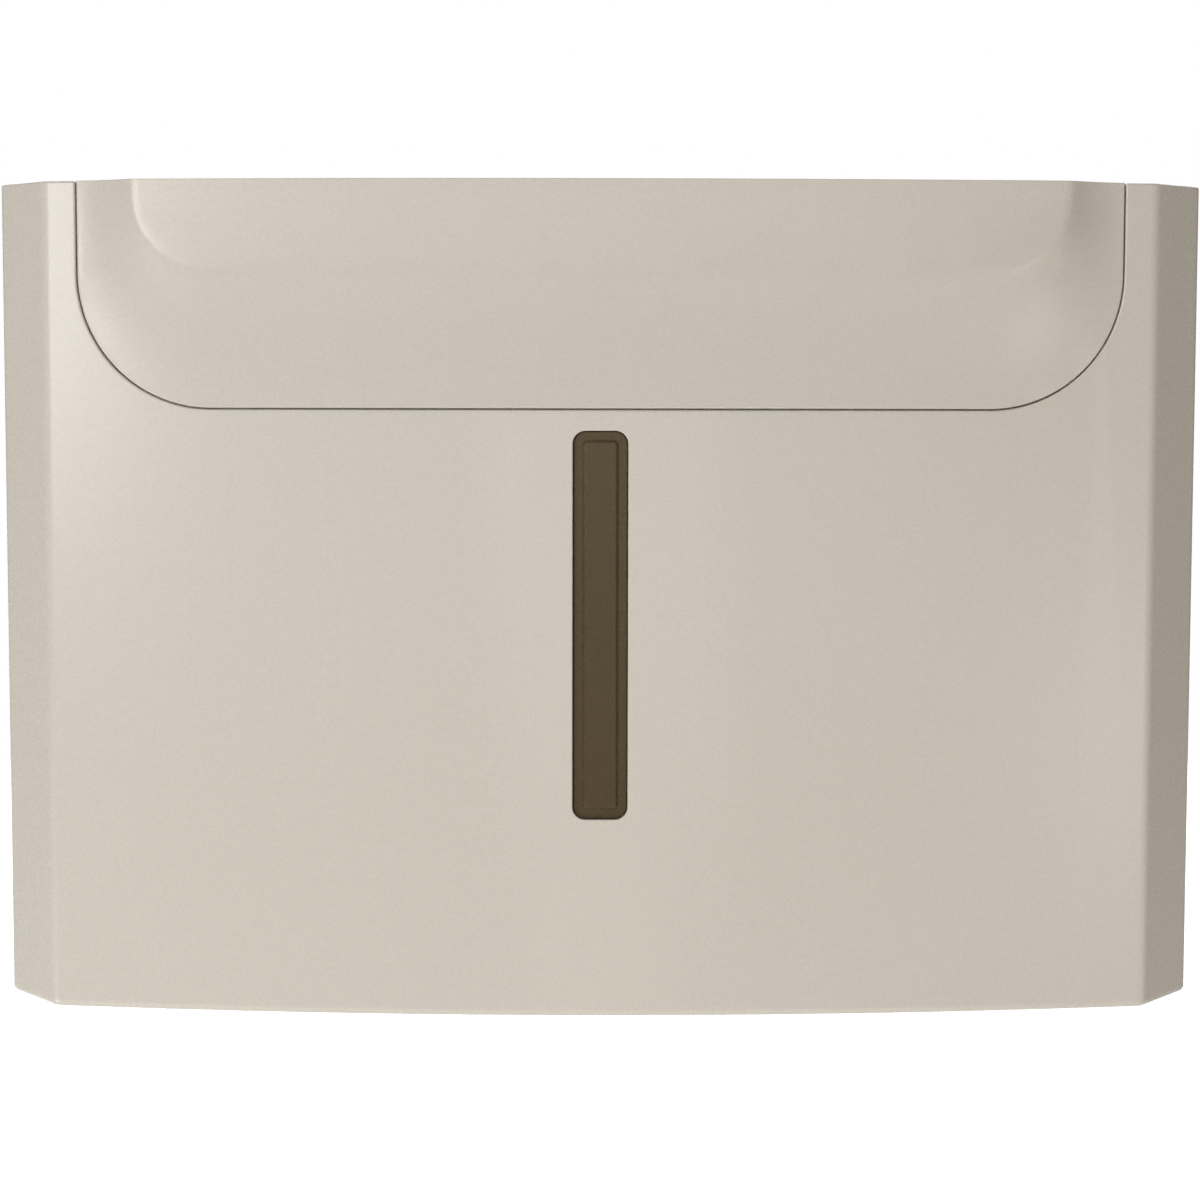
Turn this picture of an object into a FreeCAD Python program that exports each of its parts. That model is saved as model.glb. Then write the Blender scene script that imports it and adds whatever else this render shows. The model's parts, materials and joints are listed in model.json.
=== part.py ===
"""Wall-hung dispenser for folded paper towels, as an assembly of separate pieces.

A moulded back plate is screwed to the wall and carries a towel magazine: two cheeks, a floor with an
oval outlet and two sliding width guides. A bowed front cover hinges down on two pins near its lower
rear corners. The cover carries a raised brow panel, a tinted level window and a cam lock in its top.

Frame: millimetres, +Z up, the wall is the plane Y = 0 and the dispenser stands out towards -Y.
The origin is the centre of the four wall screws, on the wall.
"""

import FreeCAD
import Part
import math
import os

V = FreeCAD.Vector
X_AXIS = V(1, 0, 0)
Y_AXIS = V(0, 1, 0)
Z_AXIS = V(0, 0, 1)

# ---------------------------------------------------------------- driving dimensions
# Whole dispenser
width = 280.0             # over the cover's side walls
height = 193.5            # top to the lower edge of the front face
depth = 108.0             # wall to the middle of the bowed front face
bow = 6.0                 # how far the middle of the front face stands ahead of its side edges
chamfer_side = 12.0       # bevel between front face and side wall, measured across
chamfer_back = 10.0       # the same bevel, measured towards the wall
underside_rise = 0.159    # the underside climbs this much per millimetre towards the wall
wall = 2.5                # general moulding thickness
crease_round = 4.0        # front face to bevel
side_round = 2.0          # bevel to side wall
lower_round = 1.5         # lower outer edge
upper_round = 0.5         # top outer edge
fit_gap = 0.15            # between pieces that seat against each other
slide_gap = 0.5           # between pieces that slide past each other

# Back plate
rim_depth = 15.0          # how far its rim stands out from the wall
shadow_gap = 0.8          # between rim and cover
rail_spacing = 40.0
panel_standoff = 2.5      # hollow behind the panel
stiffener_half = 0.9      # half the thickness of the ribs in that hollow
stiffener_gap = 0.3       # they and the screw pads end this far from the wall
stiffener_shares_x = (-0.5, 0.0, 0.5)       # of the inner half width
stiffener_shares_z = (-0.15, 0.12, 0.38)    # of the height
rib_height = 2.0          # rails that the towels slide on
rail_half = 1.2           # half the thickness of a rail
rail_end_gap = 6.0        # between a rail and what lies above or below it
lip_wall = 1.6            # inner lip that the cover closes over
lip_reach = 4.0
lip_gap = 0.4
lip_above_hinge = 30.0    # its lower ends lie this far above the hinge
wall_hole_radius = 2.75
wall_hole_spacing_x = 180.0
wall_hole_inset_z = 41.75 # from the top, and from the lower edge of the front face
wall_pad_radius = 9.0
wall_pad_land = 7.0       # radius of the land under each screw head
wall_pad_sink = 0.6       # that land lies this far behind the rails
screw_pad_radius = 4.0
keyhole_head = 4.5        # radius of its wide end
keyhole_neck = 2.25       # and of its narrow one
keyhole_drop = 8.0        # between their centres
keyhole_share = 0.25      # height of the narrow end, as a share of the height

# Rubber bumpers
bumper_inset_x = 22.0     # from the side of the dispenser
bumper_inset_z = 14.0     # from its top
bumper_radius = 4.0
bumper_height = 2.2
bumper_round = 0.9
bumper_stem_radius = 1.6
bumper_stem_length = 6.0
bumper_post_radius = 5.0
bumper_touch_gap = 0.3    # to the gussets of the shut cover

# Hinge
pin_radius = 2.5
pin_press_gap = 0.02
pin_running_gap = 0.06
pin_boss_radius = 6.0
hinge_corner_radius = 7.0  # rear lower corner of the cover, round the hinge axis
cover_opens_deg = 80.0
stop_finger_reach = 12.5
stop_finger_half = 1.25   # half its thickness
stop_near = 9.0           # the cheek's stop reaches from here
stop_far = 14.0           # to here in front of the hinge axis
stop_gap = 0.3            # left between finger and stop when the cover is fully open
stop_height = 4.5
pin_hole_floor = 1.4      # left outside each hinge pin's blind hole
pin_end_gap = 0.3         # between the pin's end and that floor

# Cover
cover_lip_depth = 14.0    # floor of the cover behind its front face
cover_rib_height = 4.0
cover_rib_wall = 2.0
cover_rib_shares = (-0.72, -0.36, 0.36, 0.72)   # places across the face
gusset_half = 1.1         # half the thickness of the gussets that meet the bumpers
gusset_drop = 5.0         # they reach this far below the bumper's centre
gusset_foot = 6.0
gusset_reach = 34.0       # along the cover's top

# Brow panel
brow_inset = 7.3          # from the edge of the front face to the side of the brow
brow_drop = 52.2          # from the top of the cover to the lower edge of the brow
brow_corner = 31.0
brow_height = 4.5         # how far its flat top stands out from the cover
plateau_inset = 13.4      # width of the hollow slope beside the flat top
plateau_rise = 31.6       # and of the slope below it
plateau_corner = 17.0
plateau_round = 1.4       # the edge of the flat top is rounded this far to either side
slope_hollow = 0.85       # 0 makes the slope straight, 1 lets it run out level
brow_wall = 2.4
brow_seat = 2.6           # depth of the recess that it lies in
brow_line = 0.35          # gap that shows round it
brow_edge_round = 0.35    # on both edges along that gap
brow_seat_margin = 1.6    # the seat behind it reaches this far past its edge
brow_rim_width = 1.8      # of the edge that stands on the seat
brow_boss_radius = 3.4
brow_boss_pitch = 0.278   # spacing of its screws, as a share of the flat top's width
brow_boss_drop = 0.62     # their place below the top, as a share of the flat top's height
brow_hook_pitch = 0.1724  # spacing of its hooks, as a share of its width
brow_hook_rise = 6.0      # above its lower edge
hook_half = 5.0           # half the width of a hook
hook_wall = 1.6
hook_reach = 2.2          # behind the seat
hook_catch = 1.4          # how far its barb drops behind the seat
hook_slot_gap = 0.4
brow_grid = 1.3           # spacing of the points that shape its front

# Level window
window_width = 12.8
window_length = 90.0
window_below_brow = 4.75  # from the lower edge of the brow to the window
window_corner = 3.0
window_flange = 2.2
window_flange_wall = 1.5
window_rim_sink = 0.9     # the outer rim lies this far behind the cover's face
window_pane_sink = 0.25   # and the raised pane this far
window_rim = 2.3          # width of the rim round the pane
window_frame_wall = 2.0
window_frame_margin = 8.0  # beside the window, where the screws are
window_frame_corner = 4.0
window_frame_rib = 1.6    # width and height of the rib round its opening
window_pane_wall = 1.8
window_pane_corner = 1.0
window_screw_beside = 3.2  # from the pane's flange to the screws
window_screw_inset = 6.0  # from the window's ends
window_boss_radius = 2.75

# Magazine
hinge_room = 7.5          # between each cheek and the cover's side wall
magazine_front_gap = 2.0  # between the magazine and the floor of the cover
cheek_below_top = 14.75   # from the top of the dispenser to the top of the cheeks
cheek_front_below_top = 76.75
cheek_rear_reach = 60.0   # the cheek's front edge slopes back to here at its top
cheek_lip = 9.0
tray_lip_height = 6.0
tray_upstand = 16.0
tray_rim_gap = 0.4        # between the rim's front edge and the step in the tray
tray_step_gap = 0.1       # the tray lies this far above the rim's lower wall
tray_ramp = 2.5           # length and height of the ramp down from the rim
tray_lip_wall = 2.0
hinge_pad = 1.5
cheek_corner = 6.0
cheek_lip_drop = 6.0      # the lip ends this far below the front corner
cheek_boss_radius = 3.2
cheek_boss_length = 11.0
cheek_boss_offset = 2.1   # from the cheek's outer face
cheek_boss_above_hinge = 22.0
cheek_boss_below_top = 12.0
cheek_screw_reach = 8.0   # into the boss
finger_notch_radius = 16.0
finger_notch_y = -38.0
tray_screw_share_x = 0.7  # of the half width between the cheeks
tray_screw_share_z = 0.6  # of the upstand's height

# Outlet
outlet_length = 148.0
outlet_width = 38.0
bezel_wall = 2.7
bezel_flange = 5.3
bezel_flange_wall = 1.6
bezel_flange_round = 1.1
bezel_sleeve_rise = 2.4   # above the tray
bezel_sleeve_round = 1.0
barb_half = 5.0           # half the length of a snap barb
barb_reach = 0.9
barb_top = 1.6            # above the tray
barb_gap = 0.1            # more than the usual gap under it

# Width guides
guide_wall = 2.0
guide_travel = 12.0
guide_below_top = 40.75   # from the top of the dispenser to the top of the guides
guide_front_drop = 30.0   # the guide's front edge ends this much lower
guide_upper_foot = 24.0   # from the top of the guide down to its upper foot
guide_lower_foot = 55.0   # from the underside up to its lower foot
guide_foot_length = 8.0
guide_neck_height = 4.4
guide_head_height = 9.0
guide_head_wall = 1.2
guide_front_gap = 3.2     # to the front lips of the cheeks
guide_corner = 5.0
guide_foot_root = 6.0     # the foot's root reaches this far into the magazine
grip_ridges = 3
grip_pitch = 4.0
grip_half = 0.8           # half the thickness of a ridge
grip_stand = 1.0
grip_inset = 14.0         # from the guide's upper front corner
grip_low = 24.0           # from the guide's top to the lower end of the ridges
grip_high = 6.0           # and to their upper end

# Lock
lock_y = -34.0
lock_barrel_radius = 8.0
lock_flat_half = 6.9
lock_flange_radius = 10.0
lock_flange_wall = 1.5
lock_sink = 0.2
lock_reach = 17.0         # barrel below its flange
lock_boss_radius = 13.5
lock_boss_wall = 2.5
lock_plug_radius = 5.0
lock_plug_gap = 0.06
lock_plug_sink = 0.3      # its end lies this far below the flange
key_slot_half = 0.9       # half the width of the key slot
key_slot_reach = 3.6      # half its length
key_slot_depth = 9.0
key_ward_half = 1.8       # half the width across the slot's middle
key_ward_reach = 0.8
lock_washer_wall = 0.6
lock_nut_across = 20.0
lock_nut_wall = 3.0
cam_wall = 2.0
cam_half_width = 6.0
cam_reach = 22.0
cam_square = 6.0
cam_square_gap = 0.05
cam_washer_radius = 4.6
cam_washer_wall = 0.8
cam_screw_reach = 5.0     # into the plug
strike_wall = 1.5
strike_near_x = 9.5
strike_width = 22.0
strike_gap = 0.4
strike_under_cam = 1.2
strike_screw_rise = 8.0   # above its lower edge
strike_screw_half = 6.0   # half the spacing of its screws
strike_drop = 18.0        # its base reaches this far below the cam
strike_hook = 7.0         # height of its upturned end

# Fasteners: shank radius, head radius, head height
SMALL_SCREW = (1.3, 2.4, 1.6)
CAM_SCREW = (1.25, 2.6, 1.8)
screw_pilot_gap = 0.05
screw_clear_gap = 0.3
recess_reach = 0.6        # half the length of the cross recess, as a share of the head's radius
recess_half = 0.35        # half the width of its arms

# ---------------------------------------------------------------- values that follow from them
top_z = height / 2
front_low_z = -height / 2
half_width = width / 2
inner_half = half_width - wall
wall_hole_spacing_z = height - 2 * wall_hole_inset_z
face_half = half_width - chamfer_side
crease_y = -depth + bow
bow_radius = (face_half ** 2 + bow ** 2) / (2 * bow)
bow_centre_y = -depth + bow_radius
chamfer_length = math.hypot(chamfer_side, chamfer_back)
underside_angle = math.degrees(math.atan(underside_rise))
sloped_wall = wall * math.hypot(1, underside_rise)  # a wall along the underside, measured upright
cover_rear_y = -(rim_depth + shadow_gap)
panel_back_y = -panel_standoff
panel_front_y = panel_back_y - wall
rib_front_y = panel_front_y - rib_height
cheek_outer_half = inner_half - hinge_room
cheek_inner_half = cheek_outer_half - wall
cheek_top = top_z - cheek_below_top
cheek_low_front_top = top_z - cheek_front_below_top
magazine_front = depth - cover_lip_depth - magazine_front_gap
outlet_centre_y = -(magazine_front + rim_depth) / 2
guide_top = top_z - guide_below_top
brow_half_width = face_half - brow_inset
plateau_half_width = brow_half_width - plateau_inset
plateau_drop = brow_drop - plateau_rise
window_centre_z = top_z - brow_drop - window_below_brow - window_length / 2
hinge_y = cover_rear_y - hinge_corner_radius
tray_step_y = -(rim_depth + tray_rim_gap)
window_back_y = -depth + wall + 0.1
OVER = 60.0               # how far cutting tools run past the work
BITE = 1.0                # how far they run past where it matters little
FOUR_PLACES = (-1.5, -0.5, 0.5, 1.5)        # evenly spaced about the middle


def underside(y):
    """Height of the underside plane at that distance from the wall."""
    return front_low_z + underside_rise * (y + depth)


hinge_z = underside(hinge_y) + hinge_corner_radius * math.hypot(1, underside_rise)


def face_y(x):
    """Front surface of the cover, on its bowed part."""
    return bow_centre_y - math.sqrt(bow_radius ** 2 - x ** 2)


# ---------------------------------------------------------------- building blocks
def block(x0, x1, y0, y1, z0, z1):
    return Part.makeBox(x1 - x0, y1 - y0, z1 - z0, V(x0, y0, z0))


def rod(radius, start, end):
    along = end - start
    return Part.makeCylinder(radius, along.Length, start, along)


def joined(shapes):
    """Union of overlapping or touching solids, with seams removed."""
    result = shapes[0]
    if len(shapes) > 1:
        result = result.multiFuse(shapes[1:])
    return result.removeSplitter()


def outline(points, normal_extrusion):
    """Prism from a closed polygon of points."""
    return Part.Face(Part.makePolygon(points + points[:1])).extrude(normal_extrusion)


def side_prism(points_yz, x0, x1):
    """Prism across X from a polygon given as (y, z) pairs."""
    return outline([V(x0, y, z) for y, z in points_yz], V(x1 - x0, 0, 0))


def rounded(shape, radius, keep):
    """Fillets the edges of a shape that the test keep() picks."""
    edges = [edge for edge in shape.Edges if keep(edge)]
    return shape.makeFillet(radius, edges)


def mirrored(shape):
    return shape.mirror(V(0, 0, 0), X_AXIS)


def rounded_slot(half_x, half_z, corner, y0, y1, centre_z):
    """Prism along Y with a rounded rectangular section."""
    body = block(-half_x, half_x, y0, y1, centre_z - half_z, centre_z + half_z)
    along_y = [e for e in body.Edges if abs(e.tangentAt(e.FirstParameter).y) > 0.99]
    return body.makeFillet(corner, along_y)


def oval(half_length, half_wide, z0, z1):
    """Stadium-shaped prism along Z, centred on the origin, long along X."""
    straight = half_length - half_wide
    middle = block(-straight, straight, -half_wide, half_wide, z0, z1)
    ends = [rod(half_wide, V(s * straight, 0, z0), V(s * straight, 0, z1)) for s in (-1, 1)]
    return joined([middle] + ends)


def screw(kind, tip, head_seat, flat_head=False):
    """Screw from its tip to the plane that its head sits on, with a cross recess in the head."""
    shank, head, head_height = kind
    outward = (head_seat - tip).normalize()
    top = head_seat + outward * head_height
    shaft = rod(shank, tip, head_seat + outward * 0.1)
    if flat_head:
        sink = head - shank
        cap = Part.makeCone(shank, head, sink, head_seat - outward * sink, outward)
        top = head_seat
    else:
        cap = rod(head, head_seat, top)
        cap = rounded(cap, head_height * 0.4, lambda e: e.Curve.TypeId == "Part::GeomCircle"
                      and (e.CenterOfMass - top).Length < 0.2)
    body = joined([shaft, cap])
    slot_half, slot_deep = head * recess_reach, head_height * 0.5
    across = Z_AXIS if abs(outward.z) < 0.5 else Y_AXIS
    third = outward.cross(across)
    for a, b in ((across, third), (third, across)):
        corner = top - outward * slot_deep - a * slot_half - b * recess_half
        length, breadth = a * 2 * slot_half, b * 2 * recess_half
        points = [corner, corner + length, corner + length + breadth, corner + breadth]
        body = body.cut(outline(points, outward * (slot_deep + BITE)))
    return body


# ---------------------------------------------------------------- the cover's plan outline
def plan_points(inset):
    """Right-hand corners of the cover's plan outline, drawn in by inset."""
    nx, ny = -chamfer_back / chamfer_length, chamfer_side / chamfer_length
    ax, ay = face_half + nx * inset, crease_y + ny * inset
    dx, dy = chamfer_side / chamfer_length, chamfer_back / chamfer_length
    radius = bow_radius - inset
    # where the bevel line meets the arc of the face
    px, py = ax, ay - bow_centre_y
    b = px * dx + py * dy
    c = px * px + py * py - radius * radius
    t = -b + math.sqrt(b * b - c)
    if abs(t) > abs(-b - math.sqrt(b * b - c)):
        t = -b - math.sqrt(b * b - c)
    crease = (ax + dx * t, ay + dy * t)
    side_x = half_width - inset
    side = (side_x, ay + (side_x - ax) / dx * dy)
    return crease, side


def plan_solid(inset, z0, z1, rear_y, soft=False):
    """The cover's plan outline, drawn in by inset, as an upright prism."""
    (cx, cy), (sx, sy) = plan_points(inset)
    middle = V(0, -depth + inset, z0)
    front = Part.Arc(V(-cx, cy, z0), middle, V(cx, cy, z0)).toShape()
    corners = [V(cx, cy, z0), V(sx, sy, z0), V(sx, rear_y, z0), V(-sx, rear_y, z0),
               V(-sx, sy, z0), V(-cx, cy, z0)]
    lines = [Part.makeLine(a, b) for a, b in zip(corners, corners[1:])]
    solid = Part.Face(Part.Wire([front] + lines)).extrude(V(0, 0, z1 - z0))
    if soft:
        def upright_at(x, y):
            return lambda e: (abs(e.tangentAt(e.FirstParameter).z) > 0.99
                              and abs(abs(e.CenterOfMass.x) - x) < 0.01
                              and abs(e.CenterOfMass.y - y) < 0.01)
        solid = rounded(solid, crease_round - inset, upright_at(cx, cy))
        solid = rounded(solid, max(side_round - inset, 0.3), upright_at(sx, sy))
    return solid


def below_underside(lift):
    """Everything under the underside plane, raised by lift."""
    near, far = OVER, -depth - OVER
    return side_prism([(far, underside(far) + lift), (near, underside(near) + lift),
                       (near, -height * 2), (far, -height * 2)], -width, width)


def brow_prism(grow, top):
    """U-shaped outline of the brow, grown by grow, as a prism through the front of the cover."""
    a, r = brow_half_width + grow, brow_corner + grow
    low = top_z - brow_drop - grow
    y = -depth - brow_height - OVER / 2
    k = r * (1 - math.sqrt(0.5))
    sides = [
        Part.makeLine(V(-a, y, top), V(-a, y, low + r)),
        Part.Arc(V(-a, y, low + r), V(-a + k, y, low + k), V(-a + r, y, low)).toShape(),
        Part.makeLine(V(-a + r, y, low), V(a - r, y, low)),
        Part.Arc(V(a - r, y, low), V(a - k, y, low + k), V(a, y, low + r)).toShape(),
        Part.makeLine(V(a, y, low + r), V(a, y, top)),
        Part.makeLine(V(a, y, top), V(-a, y, top)),
    ]
    return Part.Face(Part.Wire(sides)).extrude(V(0, OVER + brow_height, 0))


# ---------------------------------------------------------------- places shared by several pieces
def brow_boss_places():
    step = plateau_half_width * 2 * brow_boss_pitch
    z = top_z - plateau_drop * brow_boss_drop
    return [(step * k, z) for k in FOUR_PLACES]


def brow_hook_places():
    step = brow_half_width * 2 * brow_hook_pitch
    z = top_z - brow_drop + brow_hook_rise
    return [(step * k, z) for k in FOUR_PLACES]


def window_screw_places():
    x = window_width / 2 + window_flange + window_screw_beside
    half = window_length / 2 - window_screw_inset
    return [(sx * x, window_centre_z + sz * half) for sx in (-1, 1) for sz in (-1, 1)]


def cheek_boss_heights():
    low = hinge_z + cheek_boss_above_hinge
    high = cheek_top - cheek_boss_below_top
    return [low, (low + high) / 2, high]


def tray_screw_places():
    z = underside(panel_front_y) + wall + tray_upstand * tray_screw_share_z
    return [(side * cheek_inner_half * tray_screw_share_x, z) for side in (-1, 0, 1)]


def strike_screw_places():
    x = strike_near_x + strike_width / 2
    z = strike_low_z() + strike_screw_rise
    return [(x - strike_screw_half, z), (x + strike_screw_half, z)]


def bumper_places():
    return [(s * (half_width - bumper_inset_x), top_z - bumper_inset_z) for s in (-1, 1)]


def lock_seat_z():
    """Underside of the lock's flange."""
    return top_z - lock_sink - lock_flange_wall


def barrel_low_z():
    return lock_seat_z() - lock_reach


def cam_low_z():
    return barrel_low_z() - fit_gap - cam_wall


def strike_low_z():
    return cam_low_z() - strike_drop


def cheek_boss_x():
    return cheek_outer_half + cheek_boss_offset


def stop_top():
    """Top of the cheek's stop, just under the cover's finger when the cover is fully open."""
    opening = math.radians(cover_opens_deg)
    return hinge_z + stop_near / math.tan(opening) - stop_finger_half / math.sin(opening) - stop_gap


# ---------------------------------------------------------------- back plate
def back_plate():
    outer = block(-half_width, half_width, -rim_depth, 0, front_low_z - OVER, top_z)
    outer = outer.cut(below_underside(0))
    outer = rounded(outer, side_round, lambda e: abs(e.tangentAt(e.FirstParameter).y) > 0.98
                    and e.CenterOfMass.z > 0)
    inside = block(-inner_half, inner_half, -rim_depth - 1, panel_front_y, -height, top_z - wall)
    inside = inside.cut(below_underside(sloped_wall))
    hollow = block(-inner_half, inner_half, panel_back_y, 1, -height, top_z - wall)
    hollow = hollow.cut(below_underside(sloped_wall))
    plate = outer.cut(inside).cut(hollow)
    additions = []
    # inner lip that the cover closes over, along the top and the upper part of the sides
    lip_low = hinge_z + lip_above_hinge
    lip_outer = inner_half - lip_gap
    lip_front = -rim_depth - lip_reach
    lip_top = top_z - wall - lip_gap
    ring = block(-lip_outer, lip_outer, lip_front, panel_front_y + 0.5, lip_low, lip_top)
    core = block(-lip_outer + lip_wall, lip_outer - lip_wall, lip_front - 1, panel_front_y + 1,
                 lip_low - 1, lip_top - lip_wall)
    lip = ring.cut(core)
    web = block(-inner_half, inner_half, -rim_depth + 0.01, panel_front_y, lip_low, top_z - wall)
    web = web.cut(block(-lip_outer + lip_wall, lip_outer - lip_wall, -rim_depth, panel_front_y + 1,
                        lip_low - 1, lip_top - lip_wall))
    additions += [lip, web]
    # rails that the towels slide on
    rail_top = cheek_top - rail_end_gap
    rail_low = underside(panel_front_y) + tray_upstand + rail_end_gap
    for place in FOUR_PLACES:
        x = place * rail_spacing
        high = rail_top if abs(place) > 1 else strike_low_z() - rail_end_gap
        additions.append(block(x - rail_half, x + rail_half, rib_front_y, panel_front_y, rail_low, high))
    # stiffening grid in the hollow behind the panel
    low_inside = underside(0) + wall
    for share in stiffener_shares_x:
        x = share * inner_half
        additions.append(block(x - stiffener_half, x + stiffener_half, panel_back_y, -stiffener_gap,
                               low_inside, top_z - wall))
    for share in stiffener_shares_z:
        z = share * height
        additions.append(block(-inner_half, inner_half, panel_back_y, -stiffener_gap,
                               z - stiffener_half, z + stiffener_half))
    # pads round the four wall screws
    holes = [(sx * wall_hole_spacing_x / 2, sz * wall_hole_spacing_z / 2)
             for sx in (-1, 1) for sz in (-1, 1)]
    for x, z in holes:
        additions.append(rod(wall_pad_radius, V(x, panel_back_y, z), V(x, 0, z)))
        additions.append(rod(wall_pad_land, V(x, rib_front_y + wall_pad_sink, z), V(x, panel_front_y, z)))
    # posts for the rubber bumpers, and pads behind the screws of tray and strike
    for x, z in bumper_places():
        additions.append(rod(bumper_post_radius, V(x, bumper_seat_y(), z), V(x, panel_front_y, z)))
    for x, z in tray_screw_places() + strike_screw_places():
        additions.append(rod(screw_pad_radius, V(x, panel_back_y, z), V(x, -stiffener_gap, z)))
    plate = joined([plate] + additions)
    # screw holes
    cuts = [rod(wall_hole_radius, V(x, rib_front_y - 1, z), V(x, 1, z)) for x, z in holes]
    for x, z in tray_screw_places() + strike_screw_places():
        pilot = SMALL_SCREW[0] + screw_pilot_gap
        cuts.append(rod(pilot, V(x, panel_front_y - 1, z), V(x, -0.9, z)))
    for side in (-1, 1):
        for z in cheek_boss_heights():
            x = side * cheek_boss_x()
            cuts.append(rod(SMALL_SCREW[0] + screw_clear_gap, V(x, panel_front_y - 1, z), V(x, 1, z)))
            cuts.append(rod(SMALL_SCREW[1] + screw_clear_gap, V(x, panel_back_y, z), V(x, 1, z)))
    for x, z in bumper_places():
        deep = bumper_seat_y() + bumper_stem_length + slide_gap
        cuts.append(rod(bumper_stem_radius + fit_gap, V(x, bumper_seat_y() - BITE, z), V(x, deep, z)))
    # keyhole for hanging the plate while its screws are driven
    neck_z = height * keyhole_share
    head_z = neck_z - keyhole_drop
    cuts.append(rod(keyhole_head, V(0, panel_front_y - BITE, head_z), V(0, BITE, head_z)))
    cuts.append(block(-keyhole_neck, keyhole_neck, panel_front_y - BITE, BITE, head_z, neck_z))
    cuts.append(rod(keyhole_neck, V(0, panel_front_y - BITE, neck_z), V(0, BITE, neck_z)))
    # slots for the feet of the width guides, wider at the inner end to let the feet in
    for side in (-1, 1):
        reach_out = guide_outer_x() - 0.6
        reach_in = guide_outer_x() - guide_wall - guide_travel - guide_foot_length + guide_wall
        for z in guide_foot_heights():
            half = guide_neck_height / 2 + slide_gap / 2
            wide = guide_head_height / 2 + slide_gap / 2
            x0, x1 = sorted((side * (reach_in - 1), side * (reach_out + 1)))
            cuts.append(block(x0, x1, panel_front_y - 1, panel_back_y + 0.01, z - half, z + half))
            x0, x1 = sorted((side * (reach_in - 1), side * (reach_in - guide_foot_length - 2)))
            cuts.append(block(x0, x1, panel_front_y - 1, panel_back_y + 0.01, z - wide, z + wide))
            x0, x1 = sorted((side * (reach_in - guide_foot_length - 3), side * (reach_out + 2)))
            cuts.append(block(x0, x1, panel_back_y, -0.2, z - wide - 1, z + wide + 1))
    return plate.cut(Part.makeCompound(cuts))


def bumper_seat_y():
    return cover_rear_y - 1.0


def bumpers():
    """Two rubber buttons that the cover's gussets close against."""
    made = []
    for x, z in bumper_places():
        seat = bumper_seat_y()
        front = seat - bumper_height
        head = rod(bumper_radius, V(x, front, z), V(x, seat, z))
        head = rounded(head, bumper_round, lambda e: abs(e.CenterOfMass.y - front) < 0.01)
        stem = rod(bumper_stem_radius, V(x, seat - 0.1, z), V(x, seat + bumper_stem_length, z))
        made.append(joined([head, stem]))
    return Part.makeCompound(made)


# ---------------------------------------------------------------- magazine
def right_cheek():
    """Upright side of the magazine, with front lip, screw bosses, hinge pad and opening stop."""
    rear, front = panel_front_y - fit_gap, -magazine_front
    foot = underside(front) + sloped_wall + fit_gap
    profile = tray_top(rear, front, fit_gap)
    profile += [(front, cheek_low_front_top), (-cheek_rear_reach, cheek_top), (rear, cheek_top)]
    web = side_prism(profile, cheek_inner_half, cheek_outer_half)
    web = rounded(web, cheek_corner, lambda e: abs(e.tangentAt(e.FirstParameter).x) > 0.99
                  and e.CenterOfMass.z > cheek_low_front_top - 1 and e.CenterOfMass.y < rear - 1)
    lip_top = cheek_low_front_top - cheek_lip_drop
    lip_back = front + tray_lip_wall
    lip = side_prism([(front, foot), (lip_back, foot + tray_lip_wall * underside_rise),
                      (lip_back, lip_top), (front, lip_top)],
                     cheek_inner_half - cheek_lip, cheek_inner_half + 0.5)
    pieces = [web, lip]
    for z in cheek_boss_heights():
        x = cheek_boss_x()
        pieces.append(rod(cheek_boss_radius, V(x, rear, z), V(x, rear - cheek_boss_length, z)))
    pad = rod(pin_boss_radius, V(cheek_inner_half - hinge_pad, hinge_y, hinge_z),
              V(cheek_outer_half, hinge_y, hinge_z))
    pieces.append(pad)
    pieces.append(block(cheek_outer_half - 0.5, inner_half - slide_gap, hinge_y - stop_far,
                        hinge_y - stop_near, stop_top() - stop_height, stop_top()))
    body = joined(pieces)
    cuts = [rod(pin_radius + pin_press_gap, V(cheek_inner_half - 5, hinge_y, hinge_z),
                V(cheek_outer_half + 1, hinge_y, hinge_z))]
    for z in cheek_boss_heights():
        x = cheek_boss_x()
        cuts.append(rod(SMALL_SCREW[0] + screw_pilot_gap, V(x, rear + BITE, z),
                        V(x, rear - cheek_screw_reach - BITE, z)))
    # finger cut-out in the upper part
    notch = V(0, finger_notch_y, cheek_top)
    cuts.append(rod(finger_notch_radius, notch, notch + X_AXIS * width))
    return body.cut(Part.makeCompound(cuts)).cut(tray_space())


def tray_top(rear, front, lift):
    """Points (y, z) along the top of the tray's floor, back to front, raised by lift."""
    over_rim = 2 * sloped_wall + tray_step_gap + lift
    ramp_high = tray_step_y - tray_ramp
    ramp_low = ramp_high - tray_ramp
    return [(rear, underside(rear) + over_rim), (ramp_high, underside(ramp_high) + over_rim),
            (ramp_low, underside(ramp_low) + sloped_wall + lift),
            (front, underside(front) + sloped_wall + lift)]


def tray_space():
    """The space under the top of the tray, so that the cheeks stop short of it."""
    top = tray_top(OVER, -magazine_front - 1, fit_gap)
    return side_prism(top + [(-magazine_front - 1, -height), (OVER, -height)], -width, width)


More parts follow.
